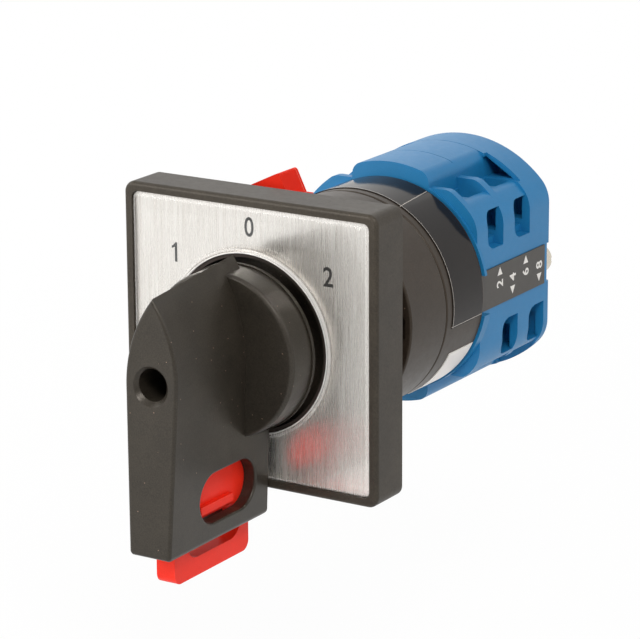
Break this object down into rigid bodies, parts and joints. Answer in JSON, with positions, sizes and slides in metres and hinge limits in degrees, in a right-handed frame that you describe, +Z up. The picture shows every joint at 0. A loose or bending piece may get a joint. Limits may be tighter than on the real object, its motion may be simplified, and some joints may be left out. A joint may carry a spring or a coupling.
{
  "type": "rotary cam switch",
  "caption": "Panel rotary cam switch: square legend plate, padlockable turning handle, red locking lever and stacked contact stages with screw terminals.",
  "frame": {"origin": "on the shaft axis, in the plane of the back of the front plate, the face that lies on the panel", "axes": "+Y along the shaft towards the back of the panel, +Z up, +X to the right seen from the front"},
  "size_m": [0.064, 0.1348, 0.078],
  "materials": {
    "frame_black": "satin black moulding",
    "handle_black": "satin black with a fine grain",
    "housing_black": "fine grained black moulding",
    "silver_plate": "brushed silver with printed numbers",
    "clear_plastic": "clear and glossy",
    "seal_brown": "dull brown-black",
    "red_plastic": "semi-gloss red moulding",
    "blue_plastic": "semi-matt blue moulding",
    "steel": "zinc plated",
    "spring_steel": "drawn wire and strip",
    "brass": "stamped, nickel washed",
    "nylon": "natural white moulding",
    "strip_grey": "dark grey with white numbers",
    "label_black": "glossy printed film, left bare",
    "sticker_white": "white film, left bare"
  },
  "bodies": {
    "housing": {"front_frame": "frame_black", "frame_screws": "steel", "legend_plate": "silver_plate", "clear_cover": "clear_plastic", "seal_ring": "seal_brown", "mounting_bracket": "housing_black", "lever_screw": "steel", "front_housing": "housing_black", "housing_screws": "steel", "detent_springs": "spring_steel", "latch_housing": "housing_black", "stage_1": "blue_plastic", "stage_2": "blue_plastic", "rear_cover": "blue_plastic", "fixed_contacts": "brass", "clamp_plates": "steel", "clamp_screws": "steel", "through_bolts": "steel", "bolt_nuts": "steel", "number_strip_right": "strip_grey", "number_strip_left": "strip_grey", "housing_label": "label_black", "white_sticker": "sticker_white", "contact_spring_1": "spring_steel", "contact_spring_2": "spring_steel", "contact_spring_3": "spring_steel", "contact_spring_4": "spring_steel"},
    "rotor": {"handle": "handle_black", "handle_screw": "steel", "shaft": "steel", "detent_wheel": "nylon", "stop_disc": "nylon", "cam_1": "nylon", "cam_2": "nylon", "slider_spring": "spring_steel"},
    "slider": {"lock_slider": "red_plastic"},
    "lever": {"lock_lever": "red_plastic"},
    "contact_1": {"plunger_1": "nylon", "bridge_1": "brass"},
    "contact_2": {"plunger_2": "nylon", "bridge_2": "brass"},
    "contact_3": {"plunger_3": "nylon", "bridge_3": "brass"},
    "contact_4": {"plunger_4": "nylon", "bridge_4": "brass"}
  },
  "joints": [
    {"name": "handle_turn", "type": "hinge", "parent": "housing", "child": "rotor", "pos_m": [0, 0, 0], "axis": [0, 1, 0], "range_deg": [-45, 45], "deforming": ["detent_springs"]},
    {"name": "slider_push", "type": "slide", "parent": "rotor", "child": "slider", "axis": [0, 0, 1], "range_m": [0, 0.0062], "stiffness_N_per_m": 400, "springref_m": -0.004, "deforming": ["slider_spring"]},
    {"name": "lever_lift", "type": "hinge", "parent": "housing", "child": "lever", "pos_m": [-0.0164, 0.0099, 0.022], "axis": [0, -1, 0], "range_deg": [0, 14]},
    {"name": "contact_1_lift", "type": "slide", "parent": "housing", "child": "contact_1", "axis": [0, 0, 1], "range_m": [-0.0009, 0.0009], "deforming": ["contact_spring_1"]},
    {"name": "contact_2_lift", "type": "slide", "parent": "housing", "child": "contact_2", "axis": [0, 0, -1], "range_m": [-0.0009, 0.0009], "deforming": ["contact_spring_2"]},
    {"name": "contact_3_lift", "type": "slide", "parent": "housing", "child": "contact_3", "axis": [0, 0, 1], "range_m": [-0.0009, 0.0009], "deforming": ["contact_spring_3"]},
    {"name": "contact_4_lift", "type": "slide", "parent": "housing", "child": "contact_4", "axis": [0, 0, -1], "range_m": [-0.0009, 0.0009], "deforming": ["contact_spring_4"]}
  ],
  "couplings": [
    {"joint": "contact_1_lift", "follows": "handle_turn", "m_per_rad": 0.0011459},
    {"joint": "contact_2_lift", "follows": "handle_turn", "m_per_rad": -0.0011459},
    {"joint": "contact_3_lift", "follows": "handle_turn", "m_per_rad": 0.0011459},
    {"joint": "contact_4_lift", "follows": "handle_turn", "m_per_rad": -0.0011459}
  ]
}
